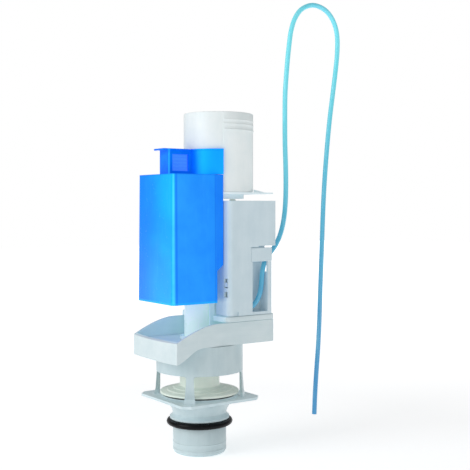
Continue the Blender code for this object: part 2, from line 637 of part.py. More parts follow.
def make_bellows():
    """A thin folded wall, open at both ends."""
    pitch = BELLOWS_HEIGHT / BELLOWS_FOLDS
    outer = [(BELLOWS_R - BELLOWS_FOLD, BELLOWS_BASE_Z)]
    for fold in range(BELLOWS_FOLDS):
        low = BELLOWS_BASE_Z + fold * pitch
        outer += [(BELLOWS_R, low + pitch * 0.4), (BELLOWS_R, low + pitch * 0.6),
                  (BELLOWS_R - BELLOWS_FOLD, low + pitch)]
    inner = [(radius - BELLOWS_WALL, height) for radius, height in outer]
    profile = [*reversed(outer), *inner]
    return finish(turned("bellows", profile, ACTUATOR_X, FEW_STEPS), BLACK)


def make_pusher():
    base = BELLOWS_BASE_Z + BELLOWS_HEIGHT + GAP
    cap_r = BELLOWS_R - 2 * MM
    cap_top = base + BELLOWS_CAP_T
    cap = [(0, cap_top), (cap_r - 1 * MM, cap_top), (cap_r, cap_top - 1 * MM), (cap_r, base),
           (0, base)]
    finish(turned("bellows_cap", cap, ACTUATOR_X, FEW_STEPS), WHITE)
    top = LIFT_PLATE_BASE - BOSS_DEPTH - GAP
    low = cap_top + GAP
    rod = [(0, top), (ROD_R - 0.8 * MM, top), (ROD_R, top - 0.8 * MM), (ROD_R, low + 4 * MM),
           (ROD_R + 2.4 * MM, low + 2 * MM), (ROD_R + 2.4 * MM, low), (0, low)]
    finish(turned("pusher_rod", rod, ACTUATOR_X, FEW_STEPS), CREAM)


# Overflow column

def make_disc():
    bore = TUBE_R + GAP
    low = DISC_Z
    profile = [
        (bore, DISC_HUB_TOP), (DISC_HUB_R - 0.8 * MM, DISC_HUB_TOP),
        (DISC_HUB_R, DISC_HUB_TOP - 0.8 * MM), (DISC_HUB_R, low + 6.6 * MM),
        (DISC_HUB_R + 1.2 * MM, low + 5.6 * MM), (DISC_HUB_R + 5.4 * MM, low + 5.0 * MM),
        (DISC_HUB_R + 6.0 * MM, low + 4.0 * MM), (DISC_R - 6.6 * MM, low + 3.6 * MM),
        (DISC_R - 6.0 * MM, low + 2.6 * MM), (DISC_R - 0.8 * MM, low + 2.0 * MM),
        (DISC_R, low + 1.4 * MM), (DISC_R, low), (DISC_HUB_R - 1.6 * MM, low),
        (DISC_HUB_R - 1.6 * MM, low - SEAL_T - GAP), (bore, low - SEAL_T - GAP),
    ]
    return finish(turned("valve_disc", profile), CREAM, 25)


def make_disc_seal():
    profile = ring_profile(DISC_HUB_R - 1.6 * MM + GAP, SEAL_OUTER_R, DISC_Z - SEAL_T - GAP,
                           DISC_Z - GAP)
    return finish(turned("disc_seal", profile), GREY)


def make_seal_retainer():
    high = DISC_Z - SEAL_T - 2 * GAP
    profile = [(SPIGOT_BORE_R - 0.8 * MM, high), (SPIGOT_BORE_R - 0.8 * MM, high - 1.8 * MM),
               (SPIGOT_BORE_R - 3 * MM, high - 3.4 * MM), (TUBE_R + GAP, high - 3.4 * MM),
               (TUBE_R + GAP, high)]
    return finish(turned("seal_retainer", profile, steps=TUBE_STEPS), CREAM)


def make_tube():
    low = DISC_Z - SEAL_T - 4 * MM
    profile = ring_profile(TUBE_R - TUBE_WALL, TUBE_R, low, LIFT_PLATE_BASE - GAP)
    return finish(turned("overflow_tube", profile, steps=TUBE_STEPS), WHITE)


def make_lift_plate():
    """Plate that carries the head; the actuator pushes up under its boss."""
    low, high = LIFT_PLATE_BASE, LIFT_PLATE_TOP
    plate = prism("lifting_plate", circle((HEAD_X, 0), HEAD_R + 0.4 * MM), low, high)
    socket_r = TUBE_R + 1.8 * MM
    socket = prism("plate_socket", circle((0, 0), socket_r, TUBE_STEPS), low - BOSS_DEPTH,
                   high - 0.01 * MM)
    bridge = box("plate_bridge", (0, -socket_r + 0.2 * MM, low + 0.1 * MM),
                 (HEAD_X, socket_r - 0.2 * MM, high - 0.2 * MM))
    boss = prism("plate_boss", circle((HEAD_X, 0), BOSS_R), low - BOSS_DEPTH, high - 0.4 * MM)
    ear = prism("plate_ear", rounded_rectangle((HEAD_X, -EAR_HALF), (EAR_END_X, EAR_HALF),
                                               (1 * MM, 3 * MM, 3 * MM, 1 * MM)),
                low + 0.2 * MM, high - 0.1 * MM)
    weld(plate, socket, bridge, boss, ear)
    for number, y in enumerate((-GUSSET_Y, GUSSET_Y)):
        start = HEAD_X + math.sqrt(HEAD_R ** 2 - y ** 2) + GUSSET_ROOM
        outline = [(start, high - 0.5 * MM), (EAR_END_X - 1 * MM, high - 0.5 * MM),
                   (start, high + GUSSET_HEIGHT)]
        weld(plate, prism(f"plate_gusset_{number}", outline, y - GUSSET_T / 2, y + GUSSET_T / 2,
                          "Y"))
    hole = prism("plate_hole_tube", circle((0, 0), TUBE_R + GAP, TUBE_STEPS),
                 low - BOSS_DEPTH - BEYOND, low)
    mouth = prism("plate_mouth", circle((0, 0), TUBE_R - TUBE_WALL, TUBE_STEPS), low - OVERLAP,
                  high + BEYOND)
    inside_head = prism("plate_mouth_limit", circle((HEAD_X, 0), HEAD_R - HEAD_WALL), low - BEYOND,
                        high + 2 * BEYOND)
    cut(plate, hole, combine(mouth, inside_head, "INTERSECT"))
    return finish(plate, WHITE)


def ring_sector(inner, outer, middle, half_angle, steps=24):
    """Part of a flat ring about the head's axis, centred on the angle middle."""
    start, end = middle - half_angle, middle + half_angle
    return [*arc((HEAD_X, 0), outer, start, end, steps),
            *arc((HEAD_X, 0), inner, end, start, steps)]


def make_head():
    """The overflow's head: a wide tube with a raised sleeve and ribs round its back."""
    low = LIFT_PLATE_TOP + GAP
    high = low + HEAD_HEIGHT
    edge = 0.4 * MM
    profile = [(HEAD_R - edge, high), (HEAD_R, high - edge), (HEAD_R, low),
               (HEAD_R - HEAD_WALL, low), (HEAD_R - HEAD_WALL, high)]
    head = turned("overflow_head", profile, HEAD_X)
    within = HEAD_R - HEAD_WALL / 2
    sleeve = ring_sector(within, HEAD_R + SLEEVE_PROUD, 0, SLEEVE_HALF_ANGLE, 32)
    weld(head, prism("head_sleeve", sleeve, low + OVERLAP, high - edge))
    for number, (below, stand_out) in enumerate(HEAD_RIBS):
        rib = ring_sector(within, HEAD_R + stand_out * MM, 0, SLEEVE_HALF_ANGLE - 1, 32)
        top = high - below * MM
        weld(head, prism(f"head_rib_{number}", rib, top - RIB_WIDTH, top))
    return finish(head, WHITE, 50)


# Float

def bell_outline(inset):
    front, back, half = BELL_FRONT_X + inset, BELL_BACK_X - inset, BELL_HALF - inset
    front_r = BELL_CORNER_R - inset
    return rounded_rectangle((front, -half), (back, half), (front_r, 0.6 * MM, 0.6 * MM, front_r))


def flare_base(piece, base):
    """Widen a moulding's lowest ring about its back plane, as its draft does."""
    about = Matrix.Translation((BELL_BACK_X, 0, 0))
    grow = about @ Matrix.Diagonal((*BELL_FLARE, 1.0)) @ about.inverted()
    for vertex in piece.data.vertices:
        if vertex.co.z < base + 1 * MM:
            vertex.co = grow @ vertex.co
    return piece


def make_bell():
    """An open-bottomed box that wraps round the tube and the lifting plate."""
    plate_zone = LIFT_PLATE_BASE - FLOAT_RISE - 4 * MM
    bell = flare_base(prism("float_bell", bell_outline(0), BELL_BASE, BELL_TOP), BELL_BASE)
    air = prism("bell_air", bell_outline(BELL_WALL), BELL_BASE - OVERLAP, BELL_TOP - BELL_WALL)
    flare_base(air, BELL_BASE)
    low, high = BELL_BASE - BEYOND, BELL_TOP + BEYOND
    channel_wall = prism("bell_channel_wall", circle((0, 0), CHANNEL_R + BELL_WALL), low, high)
    head_wall = prism("bell_head_wall", circle((HEAD_X, 0), FLOAT_RING_R + BELL_WALL),
                      plate_zone - BELL_WALL, high + OVERLAP)
    cut(air, channel_wall, head_wall)
    channel = prism("bell_channel", circle((0, 0), CHANNEL_R), low - OVERLAP, high + OVERLAP)
    head_room = prism("bell_head_room", circle((HEAD_X, 0), FLOAT_RING_R), plate_zone,
                      high + 2 * OVERLAP)
    cut(bell, air, channel, head_room)
    outer = BELL_HALF + 0.3 * MM
    low, high = BELL_TOP - FLANGE_HEIGHT, BELL_TOP - 0.2 * MM
    outline = [(BELL_BACK_X - 1.2 * MM, low), (FLANGE_BACK_X, low + 6 * MM),
               (FLANGE_BACK_X, high), (BELL_BACK_X - 1.2 * MM, high)]
    for number, span in enumerate(both_sides(-outer, -outer + FLANGE_T)):
        weld(bell, prism(f"bell_flange_{number}", outline, span[0], span[1], "Y"))
    return finish(bell, BLUE)


def make_float_collar():
    """A part ring round the head, with a windowed box in front that holds the slider."""
    outer = FLOAT_RING_R + COLLAR_WALL
    half_angle = 180 - math.degrees(math.acos((FLANGE_BACK_X - HEAD_X) / outer))
    ring = prism("float_collar", ring_sector(FLOAT_RING_R, outer, 180, half_angle), RISER_BASE,
                 RISER_TOP)
    riser = prism("collar_riser", rounded_rectangle((RISER_FRONT_X, -RISER_HALF),
                                                    (HEAD_X - outer + 1 * MM, RISER_HALF),
                                                    (1.5 * MM, 0.1 * MM, 0.1 * MM, 1.5 * MM), 3),
                  RISER_BASE, RISER_TOP - 0.3 * MM)
    lip = prism("collar_lip", ring_sector(FLOAT_RING_R, outer + 0.6 * MM, 180, half_angle),
                RISER_TOP - 0.1 * MM, RISER_TOP + LIP_T)
    tab = prism("collar_tab", rounded_rectangle((LIP_FRONT_X, -RISER_HALF - 0.6 * MM),
                                                (HEAD_X - outer + 1 * MM, RISER_HALF + 0.6 * MM),
                                                (1 * MM, 0.1 * MM, 0.1 * MM, 1 * MM), 3),
                RISER_TOP - 0.4 * MM, RISER_TOP + LIP_T - 0.1 * MM)
    weld(ring, riser, lip, tab)
    cut(ring, box("riser_hollow", SLIDER_HOLLOW_LOW, SLIDER_HOLLOW_HIGH),
        box("riser_window", (SLIDER_HOLLOW_LOW[0] + WINDOW_FRAME, -RISER_HALF - BEYOND,
                             RISER_BASE + SLIDER_TRAVEL + 2 * SLIDER_PLAY),
            (SLIDER_HOLLOW_HIGH[0] - OVERLAP, RISER_HALF + BEYOND,
             SLIDER_HOLLOW_HIGH[2] - SLIDER_TRAVEL - 2 * SLIDER_PLAY)))
    return finish(ring, BLUE)


def make_slider():
    """A ribbed block that sets the flush volume."""
    play = Vector((SLIDER_PLAY, SLIDER_PLAY, SLIDER_TRAVEL + SLIDER_PLAY))
    low = Vector((*SLIDER_HOLLOW_LOW[:2], RISER_BASE)) + play
    high = Vector(SLIDER_HOLLOW_HIGH) - play
    slider = box("volume_slider", (low.x, low.y + SLIDER_RIB_DEPTH, low.z),
                 (high.x, high.y - SLIDER_RIB_DEPTH, high.z))
    pitch = (high.z - low.z) / SLIDER_RIBS
    for rib in range(SLIDER_RIBS):
        start = low.z + rib * pitch + pitch * 0.2
        weld(slider, box(f"slider_rib_{rib}", (low.x + OVERLAP, low.y, start),
                         (high.x - OVERLAP, high.y, start + pitch * 0.6)))
    return finish(slider, BLUE)


# Air hose

def smooth_route(points, spacing):
    """A Catmull-Rom curve through the points, read off at an even spacing."""
    ends = [2 * points[0] - points[1], *points, 2 * points[-1] - points[-2]]
    fine = []
    for a, b, c, d in zip(ends, ends[1:], ends[2:], ends[3:]):
        for i in range(20):
            t = i / 20
            fine.append(0.5 * ((2 * b) + (c - a) * t + (2 * a - 5 * b + 4 * c - d) * t ** 2
                               + (3 * b - a - 3 * c + d) * t ** 3))
    fine.append(points[-1])
    lengths = [0.0]
    for a, b in zip(fine, fine[1:]):
        lengths.append(lengths[-1] + (b - a).length)
    count = round(lengths[-1] / spacing)
    route = []
    for i in range(count + 1):
        target = lengths[-1] * i / count
        at = max(j for j, length in enumerate(lengths) if length <= target + 1e-12)
        at = min(at, len(fine) - 2)
        share = (target - lengths[at]) / (lengths[at + 1] - lengths[at])
        route.append(fine[at].lerp(fine[at + 1], share))
    return route


def make_hose():
    route = smooth_route([Vector(point) * MM for point in HOSE_ROUTE_MM], HOSE_POINT_SPACING)
    curve = bpy.data.curves.new("air_hose", "CURVE")
    curve.dimensions = "3D"
    curve.bevel_depth = HOSE_D / 2
    curve.bevel_resolution = 2
    curve.render_resolution_u = 0
    curve.use_fill_caps = True
    spline = curve.splines.new("POLY")
    spline.points.add(len(route) - 1)
    for point, place in zip(spline.points, route):
        point.co = (*place, 1.0)
    hose = bpy.data.objects.new("air_hose", curve)
    bpy.context.scene.collection.objects.link(hose)
    curve.materials.append(make_material("air_hose", HOSE))
    return hose


def clear_scene():
    for old in list(bpy.data.objects):
        bpy.data.objects.remove(old, do_unlink=True)


def group_under(name, children):
    """An empty at the origin carries the pieces that move together."""
    empty = bpy.data.objects.new(name, None)
    bpy.context.scene.collection.objects.link(empty)
    for child in children:
        bpy.data.objects[child].parent = empty


def main():
    clear_scene()
    for make in (make_outlet, make_spigot_ring, make_cage, make_tray, make_deck, make_bush,
                 make_tube_guide, make_housing, make_bridge, make_latches, make_nozzle,
                 make_bellows_base, make_bellows, make_pusher, make_disc, make_disc_seal,
                 make_seal_retainer, make_tube, make_lift_plate, make_head, make_bell,
                 make_float_collar, make_slider, make_hose):
        make()
    group_under("lift_column", ("valve_disc", "disc_seal", "seal_retainer", "overflow_tube",
                                "lifting_plate", "overflow_head"))
    group_under("pusher", ("pusher_rod", "bellows_cap"))
    group_under("float", ("float_bell", "float_collar"))
    group_under("slider", ("volume_slider",))


main()
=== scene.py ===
# %% [markdown]
# # A flush valve from a concealed cistern
# The engineering model already holds every part at its real size, so this lesson adds what makes
# the valve look real: rounded moulding edges, detailed plastics and rubber, soft light and a
# camera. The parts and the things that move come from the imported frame, and nothing here moves or
# resizes them.

# %% Load the frame
import json
import math

import bpy
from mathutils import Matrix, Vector


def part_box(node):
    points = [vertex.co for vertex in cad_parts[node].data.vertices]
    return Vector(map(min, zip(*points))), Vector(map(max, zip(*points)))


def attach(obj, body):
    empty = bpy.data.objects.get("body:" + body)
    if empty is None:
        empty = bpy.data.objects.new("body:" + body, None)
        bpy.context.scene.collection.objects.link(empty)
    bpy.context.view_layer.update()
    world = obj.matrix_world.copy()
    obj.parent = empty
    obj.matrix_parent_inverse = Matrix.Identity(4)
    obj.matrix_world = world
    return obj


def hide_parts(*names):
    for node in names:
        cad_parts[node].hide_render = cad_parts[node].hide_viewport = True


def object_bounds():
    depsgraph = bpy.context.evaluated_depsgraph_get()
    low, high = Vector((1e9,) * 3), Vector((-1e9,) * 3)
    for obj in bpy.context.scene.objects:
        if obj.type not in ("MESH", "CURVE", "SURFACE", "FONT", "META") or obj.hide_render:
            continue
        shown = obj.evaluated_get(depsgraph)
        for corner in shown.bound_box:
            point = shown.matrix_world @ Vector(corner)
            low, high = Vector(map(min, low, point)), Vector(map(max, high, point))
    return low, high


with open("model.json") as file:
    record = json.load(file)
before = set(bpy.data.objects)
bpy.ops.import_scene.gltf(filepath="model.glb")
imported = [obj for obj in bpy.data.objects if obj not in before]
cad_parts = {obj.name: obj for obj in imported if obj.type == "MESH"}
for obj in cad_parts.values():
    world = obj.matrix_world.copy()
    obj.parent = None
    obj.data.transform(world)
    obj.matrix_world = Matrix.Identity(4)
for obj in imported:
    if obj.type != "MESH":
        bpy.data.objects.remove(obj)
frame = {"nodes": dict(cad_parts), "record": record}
cad_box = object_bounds()
print("parts:", len(frame["nodes"]), "box:", cad_box)

# %% [markdown]
# ## The camera
# The valve shows most of itself from the float's near corner: the float, the housing and the hose's
# pocket all face that way. The camera stands level with the float, tips down slightly and has a
# portrait lens, so the upright edges stay almost parallel. A camera can be placed by dragging it
# about, but a place and two angles are easier to repeat.

# %% Camera
MM = 0.001
SIGHT_ANGLE = math.radians(54.98)      # from +X towards +Y
SIGHT_DOWN = math.radians(1.78)
EYE = Vector((-460.4, -714.8, 177.9)) * MM
LENS_MM = 69.96


def add_camera():
    data = bpy.data.cameras.new("camera")
    data.lens = LENS_MM
    camera = bpy.data.objects.new("camera", data)
    bpy.context.scene.collection.objects.link(camera)
    camera.location = EYE
    camera.rotation_euler = (math.pi / 2 - SIGHT_DOWN, 0, SIGHT_ANGLE - math.pi / 2)
    bpy.context.scene.camera = camera


add_camera()
print("camera at", tuple(round(c, 3) for c in EYE), "with a lens of", LENS_MM, "mm")

# %% [markdown]
# ## The air hose comes first
# The hose is one length of stiff tube that leaves the pocket, bends up behind the bridge and makes
# a tall loop to its cut end. A curve through listed points is the natural way to make it,
# because the points are the engineering route and a round bevel gives the tube. A smooth curve is
# laid through them and read off in small steps, so that no bend shows a corner.

# %% Route of the hose
HOSE_D = 4.6 * MM
HOSE_WALL = 1.1 * MM
HOSE_ROUTE_MM = (
    (33.9, -33, 84.6), (37.7, -33, 86.3), (41.2, -33.2, 89.7), (43.9, -33.5, 94.3),
    (45.6, -33.8, 99.8), (46.6, -34, 106), (47.2, -34, 113), (48.2, -33.9, 119),
    (50.4, -33.3, 125), (54, -32.1, 129.8), (58.6, -30.4, 133.5), (63.6, -28.6, 137.2),
    (68.2, -28, 142), (72.2, -28, 149), (75.6, -28, 157.6), (78.2, -28, 169),
    (79.6, -28, 182), (80.1, -28, 198), (79.8, -28, 217), (79, -28, 238), (78.8, -28, 261),
    (79, -28, 283), (80.1, -28, 299), (82, -28, 318), (83.8, -28, 332), (86, -28, 345),
    (90.4, -28, 357), (97.3, -28, 366), (105.7, -28, 371), (114, -28, 373), (122.3, -28, 372.2),
    (130.5, -28, 369), (137.3, -28, 363), (142.2, -28, 354.5), (144.5, -28, 344),
    (144.4, -28, 330), (142.3, -28, 312), (138.6, -28, 288), (134.9, -28, 264), (132, -28, 240),
    (129.6, -28, 216), (127.7, -28, 192), (126.4, -28, 168), (125.5, -28, 145), (124.5, -28, 121),
    (123.3, -28, 94), (122.2, -28, 63), (120.7, -28, 39), (118.7, -28, 16), (117, -28, -7),
    (116.2, -28, -26),
)


def smooth_route(points, steps=6):
    """A Catmull-Rom curve through the points."""
    ends = [2 * points[0] - points[1], *points, 2 * points[-1] - points[-2]]
    route = []
    for a, b, c, d in zip(ends, ends[1:], ends[2:], ends[3:]):
        for i in range(steps):
            t = i / steps
            route.append(0.5 * (2 * b + (c - a) * t + (2 * a - 5 * b + 4 * c - d) * t ** 2
                                + (3 * b - a - 3 * c + d) * t ** 3))
    route.append(points[-1].copy())
    return route


hose_route = smooth_route([Vector(point) * MM for point in HOSE_ROUTE_MM])
hose_length = sum((b - a).length for a, b in zip(hose_route, hose_route[1:]))
print("hose:", round(hose_length * 1000, 1), "mm long")


# %% [markdown]
# ## A curve with a bevel becomes the tube
# A poly curve with a round bevel and filled ends is the quickest tube there is. Its far end is cut
# square, so the bore has to show there: once the curve is a mesh, the flat face at the end is
# inset for the wall, with a tiny chamfer inside and out, and pushed back into the tube.

# %% The tube itself
HOSE_BORE_DEPTH = 9 * MM
HOSE_SMOOTH_BELOW = 50                 # degrees between two faces
DOUBLES_APART = 0.001 * MM


def only(piece):
    """Make one object the selected and active one."""
    bpy.ops.object.select_all(action="DESELECT")
    piece.select_set(True)
    bpy.context.view_layer.objects.active = piece
    return piece


def add_tube_curve(name, route, diameter):
    """A capped round tube along the route."""
    curve = bpy.data.curves.new(name, "CURVE")
    curve.dimensions = "3D"
    curve.bevel_depth = diameter / 2
    curve.bevel_resolution = 5
    curve.use_fill_caps = True
    spline = curve.splines.new("POLY")
    spline.points.add(len(route) - 1)
    for point, place in zip(spline.points, route):
        point.co = (*place, 1.0)
    tube = bpy.data.objects.new(name, curve)
    bpy.context.scene.collection.objects.link(tube)
    return only(tube)


def bore_end(tube, end, diameter, wall, depth):
    """Inset the flat face at a tube's end and push it in, so the cut end shows its bore."""
    only(tube)
    bpy.ops.object.mode_set(mode="EDIT")
    bpy.ops.mesh.select_mode(type="FACE")
    bpy.ops.mesh.select_all(action="SELECT")
    bpy.ops.mesh.remove_doubles(threshold=DOUBLES_APART)
    bpy.ops.mesh.select_all(action="DESELECT")
    bpy.ops.object.mode_set(mode="OBJECT")
    mesh = tube.data
    reach = diameter * 0.51            # just past the rim
    chamfer = wall * 0.2
    for face in mesh.polygons:
        places = [mesh.vertices[index].co for index in face.vertices]
        face.select = all((place - end).length < reach for place in places)
        if face.select:
            inward = -face.normal.copy() * depth
    bpy.ops.object.mode_set(mode="EDIT")
    bpy.ops.mesh.dissolve_faces()
    bpy.ops.mesh.inset(thickness=chamfer, depth=chamfer * 0.75)
    bpy.ops.mesh.inset(thickness=wall - 2 * chamfer)
    bpy.ops.mesh.inset(thickness=chamfer, depth=-chamfer * 0.75)
    bpy.ops.mesh.extrude_region_move(TRANSFORM_OT_translate={"value": inward})
    bpy.ops.object.mode_set(mode="OBJECT")


hose = add_tube_curve("hose_tube", hose_route, HOSE_D)
bpy.ops.object.convert(target="MESH")
bore_end(hose, hose_route[-1], HOSE_D, HOSE_WALL, HOSE_BORE_DEPTH)
hose.data.shade_smooth()
hose.data.set_sharp_from_angle(angle=math.radians(HOSE_SMOOTH_BELOW))
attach(hose, "valve_body")
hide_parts("air_hose")
print("hose faces:", len(hose.data.polygons))

# %% [markdown]
# ## The studio
# A pale floor under the outlet and a pale world give the even white surround of a catalogue
# picture. The floor glows a little more the further it is from the valve, so that no horizon
# shows. A large soft light from the left keeps the float's front bright and lets the sides that
# face the other way fall into a cool grey.

# %% Floor and lights
FLOOR_Z = cad_box[0].z - 0.5 * MM
FLOOR_SIZE = 8.0
FLOOR_GLOW_FROM = {"From Min": 0.3, "To Min": 0.50}        # metres from the valve, and glow
FLOOR_GLOW_TO = {"From Max": 1.6, "To Max": 0.95}
WORLD_SEEN = 1.0
WORLD_LIGHT = 0.40
LIGHTS = {                             # place, size, power and colour
    "key": ((-1.9, 0.1, 0.9), 1.3, 16, (1, 1, 1)),
    "fill": ((-0.4, -2.0, 0.9), 1.6, 1.8, (0.88, 0.96, 1.0)),
}
LIT_POINT = (0, 0, 0.14)


def floor_paint():
    paint = bpy.data.materials.new("studio_floor")
    paint.use_nodes = True
    nodes, links = paint.node_tree.nodes, paint.node_tree.links
    shader = nodes["Principled BSDF"]
    shader.inputs["Base Color"].default_value = (0.93, 0.94, 0.95, 1)
    shader.inputs["Roughness"].default_value = 0.85
    shader.inputs["Emission Strength"].default_value = 1.0
    place = nodes.new("ShaderNodeTexCoord")
    distance = nodes.new("ShaderNodeVectorMath")
    distance.operation = "LENGTH"
    glow = nodes.new("ShaderNodeMapRange")
    for name, value in {**FLOOR_GLOW_FROM, **FLOOR_GLOW_TO}.items():
        glow.inputs[name].default_value = value
    links.new(place.outputs["Object"], distance.inputs[0])
    links.new(distance.outputs["Value"], glow.inputs["Value"])
    links.new(glow.outputs["Result"], shader.inputs["Emission Color"])
    return paint


def add_floor():
    bpy.ops.mesh.primitive_plane_add(size=FLOOR_SIZE, location=(0, 0, FLOOR_Z))
    floor = bpy.context.object
    floor.name = "studio_floor"
    floor.data.materials.append(floor_paint())


def add_area_light(name, place, size, power, colour):
    """A square light that looks at the middle of the valve."""
    data = bpy.data.lights.new(name, "AREA")
    data.size = size
    data.energy = power
    data.color = colour
    light = bpy.data.objects.new(name, data)
    bpy.context.scene.collection.objects.link(light)
    light.location = place
    aim = Vector(LIT_POINT) - Vector(place)
    light.rotation_euler = aim.to_track_quat("-Z", "Y").to_euler()


def light_the_world():
    """The world looks white, and lights the valve less than it looks."""
    world = bpy.data.worlds.new("studio")
    bpy.context.scene.world = world
    world.use_nodes = True
    nodes, links = world.node_tree.nodes, world.node_tree.links
    background = nodes["Background"]
    background.inputs["Color"].default_value = (1.0, 1.0, 1.0, 1)
    ray = nodes.new("ShaderNodeLightPath")
    strength = nodes.new("ShaderNodeMapRange")
    strength.inputs["To Min"].default_value = WORLD_LIGHT
    strength.inputs["To Max"].default_value = WORLD_SEEN
    links.new(ray.outputs["Is Camera Ray"], strength.inputs["Value"])
    links.new(strength.outputs["Result"], background.inputs["Strength"])


add_floor()
for light_name, settings in LIGHTS.items():
    add_area_light(light_name, *settings)
light_the_world()
bpy.context.scene.view_settings.view_transform = "Standard"
print("lights:", list(LIGHTS))

# %% [markdown]
# ## Rounded mouldings
# A moulded part never has a knife edge: steel tools leave a small radius wherever two faces meet,
# and that radius catches the light. The engineering solids have plain edges, so each visible part
# is copied, its loose triangles are joined and tidied into flat faces, and a narrow bevel goes
# along every edge that is sharp enough to be one. A bevel modifier does this in one step and keeps
# the size of the part. Flat faces next to a bevel can pick up its slope in their shading, so the
# boxy parts also get a Weighted Normal modifier, which lets the big flat face decide. On turned
# parts it would smear fine ribs, so they go without.

# %% Round every moulding
BODY_OF = {node: body for body, nodes in frame["record"]["behaviour"]["bodies"].items()
           for node in nodes}
SLOT_OF = {part["node"]: part["material_slot"] for part in frame["record"]["subparts"]}
BEVEL_ABOVE = 34                       # degrees between two faces
SMOOTH_BELOW = 32
CORNERS_APART = 0.004 * MM
mouldings = {}


def copy_part(node, name):
    """The part's mesh as joined flat faces in an object of its own."""
    piece = bpy.data.objects.new(name, frame["nodes"][node].data.copy())
    bpy.context.scene.collection.objects.link(piece)
    piece.data.name = name
    only(piece)
    bpy.ops.object.mode_set(mode="EDIT")
    bpy.ops.mesh.select_all(action="SELECT")
    bpy.ops.mesh.remove_doubles(threshold=CORNERS_APART)
    bpy.ops.mesh.customdata_custom_splitnormals_clear()
    bpy.ops.mesh.dissolve_limited(angle_limit=math.radians(0.6))
    bpy.ops.object.mode_set(mode="OBJECT")
    return piece


def round_edges(piece, width, has_flats):
    """Bevel the sharp edges; on parts with flats, keep the flats flat in the light."""
    only(piece)
    bevel = piece.modifiers.new("edge", "BEVEL")
    bevel.width = width
    bevel.segments = 2
    bevel.limit_method = "ANGLE"
    bevel.angle_limit = math.radians(BEVEL_ABOVE)
    bevel.miter_outer = "MITER_ARC"
    bevel.use_clamp_overlap = True
    bpy.ops.object.modifier_apply(modifier=bevel.name)
    bpy.ops.object.shade_smooth_by_angle(angle=math.radians(SMOOTH_BELOW))
    if has_flats:
        flats = piece.modifiers.new("flats", "WEIGHTED_NORMAL")
        flats.keep_sharp = True
        bpy.ops.object.modifier_apply(modifier=flats.name)


def stand_for(piece, node):
    """The piece takes a part's place, motion and finish."""
    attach(piece, BODY_OF[node])
    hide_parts(node)
    mouldings[node] = piece


print("bodies:", sorted(set(BODY_OF.values())))

# %% [markdown]
# ## How round each edge is
# Thick tool corners, such as the tray's and the float's, are softest. The snap hooks, the bridge
# and the small inner parts have only the smallest radius that a tool can have, and the head's thin
# ribs need an even smaller one so that the ribs stay ribs.

# %% Edge radii, in millimetres
EDGE_RADII_MM = {
    "outlet_spigot": 0.3, "valve_cage": 0.45, "water_tray": 0.6, "deck_plate": 0.8,
    "tube_bush": 0.3, "tube_guide": 0.4, "actuator_housing": 0.5, "hose_bridge": 0.25,
    "housing_latch_near": 0.3, "housing_latch_far": 0.3, "air_nozzle": 0.3, "bellows_base": 0.4,
    "bellows": 0.4, "bellows_cap": 0.3, "pusher_rod": 0.3, "overflow_tube": 0.35,
    "overflow_head": 0.12, "lifting_plate": 0.4, "valve_disc": 0.35, "disc_seal": 0.3,
    "seal_retainer": 0.3, "float_bell": 0.7, "float_collar": 0.3, "volume_slider": 0.25,
}
TURNED_PARTS = {"overflow_head", "outlet_spigot", "valve_disc", "overflow_tube", "bellows"}
for node, radius in EDGE_RADII_MM.items():
    moulding = copy_part(node, "moulded_" + node)
    round_edges(moulding, radius * MM, node not in TURNED_PARTS)
    stand_for(moulding, node)
print("mouldings:", len(mouldings),
      "faces:", sum(len(piece.data.polygons) for piece in mouldings.values()))

# %% [markdown]
# ## The O-ring
# The O-ring is the only part whose whole shape is round, so the engineering polygon would show its
# corners in the highlight. A torus primitive is the ring, and a fine raised line of flash runs
# round its outside where the two halves of the mould met.

# %% O-ring with its mould line
ring_low, ring_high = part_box("spigot_o_ring")
ring_section = ring_high.z - ring_low.z
FLASH = 0.12 * MM
ring_radius = ring_high.x - ring_section / 2 - FLASH
ring_height = (ring_low.z + ring_high.z) / 2


def add_ring(name, radius, section, height):
    bpy.ops.object.select_all(action="DESELECT")
    bpy.ops.mesh.primitive_torus_add(major_radius=radius, minor_radius=section / 2,
                                     major_segments=120, minor_segments=32,
                                     location=(0, 0, height))
    ring = bpy.context.object
    ring.name = ring.data.name = name
    bpy.ops.object.transform_apply(location=True)
    return ring


def raise_mould_line(ring, radius, section, height):
    """Push out the outermost loop of the torus a little."""
    for vertex in ring.data.vertices:
        outwards = math.hypot(vertex.co.x, vertex.co.y) - radius
        if outwards > section * 0.499 and abs(vertex.co.z - height) < 0.01 * MM:
            grow = 1 + FLASH / (radius + section / 2)
            vertex.co.x *= grow
            vertex.co.y *= grow
    ring.data.shade_smooth()


o_ring = add_ring("rubber_o_ring", ring_radius, ring_section, ring_height)
raise_mould_line(o_ring, ring_radius, ring_section, ring_height)
stand_for(o_ring, "spigot_o_ring")
print("o-ring section", round(ring_section * 1000, 2), "mm")

# %% [markdown]
# ## Writing materials as sums
# A material is easier to read as arithmetic than as a web of nodes. `Flow` wraps one output of a
# node, and Python's own operators add the Math nodes between them. `Finish` is a material in the
# making: it hands out the object's own coordinates and noises as flows, mixes colours, and feeds
# the shader. Everything starts from Object coordinates, so a pattern stays on its part.

